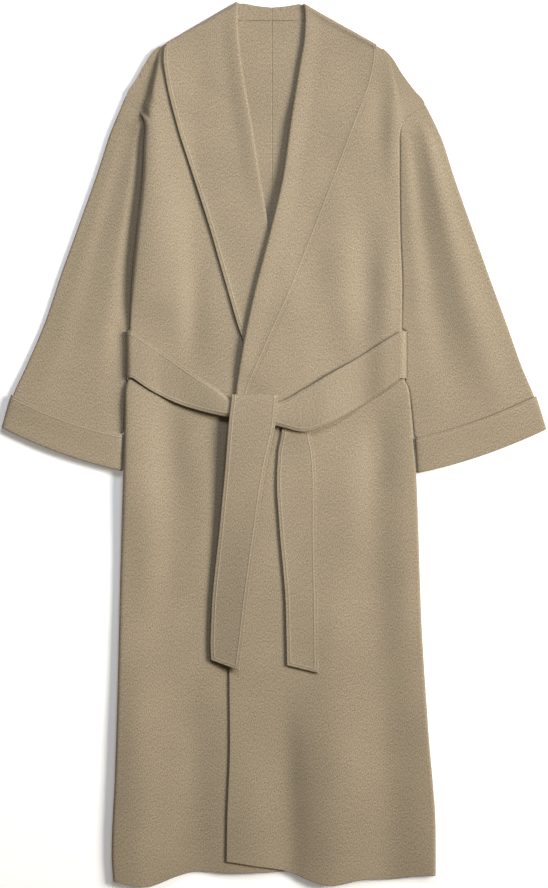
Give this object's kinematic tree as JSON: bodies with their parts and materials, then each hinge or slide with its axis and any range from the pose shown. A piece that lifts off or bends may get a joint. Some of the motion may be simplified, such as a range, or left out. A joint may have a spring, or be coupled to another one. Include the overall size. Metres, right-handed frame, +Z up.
{
  "type": "wool coat",
  "caption": "Long wool wrap coat with a shawl collar, dropped shoulders, wide sleeves with turned-back cuffs and a knotted tie belt, laid flat on its back.",
  "frame": {"origin": "middle of the coat's length and width, on the table it lies on", "axes": "+Y up the coat towards the collar, +X to the right as seen from above, +Z up from the table"},
  "size_m": [0.7974, 1.2993, 0.0285],
  "materials": {
    "wool_back_left": "matte brushed wool",
    "wool_back_right": "matte brushed wool",
    "wool_front_left": "matte brushed wool",
    "wool_front_right": "matte brushed wool",
    "wool_collar_left": "matte brushed wool",
    "wool_collar_right": "matte brushed wool",
    "wool_sleeve_left": "matte brushed wool",
    "wool_sleeve_right": "matte brushed wool",
    "wool_cuff_left": "matte brushed wool",
    "wool_cuff_right": "matte brushed wool",
    "wool_belt_back": "matte brushed wool",
    "wool_belt_left": "matte brushed wool",
    "wool_belt_right": "matte brushed wool",
    "wool_belt_end_left": "matte brushed wool",
    "wool_belt_end_right": "matte brushed wool"
  },
  "bodies": {
    "root": {"back_left": "wool_back_left", "back_right": "wool_back_right", "front_left": "wool_front_left", "front_right": "wool_front_right", "collar_left": "wool_collar_left", "collar_right": "wool_collar_right", "sleeve_left": "wool_sleeve_left", "sleeve_right": "wool_sleeve_right", "cuff_left": "wool_cuff_left", "cuff_right": "wool_cuff_right", "belt_back": "wool_belt_back", "belt_left": "wool_belt_left", "belt_right": "wool_belt_right", "belt_end_left": "wool_belt_end_left", "belt_end_right": "wool_belt_end_right"}
  },
  "joints": []
}
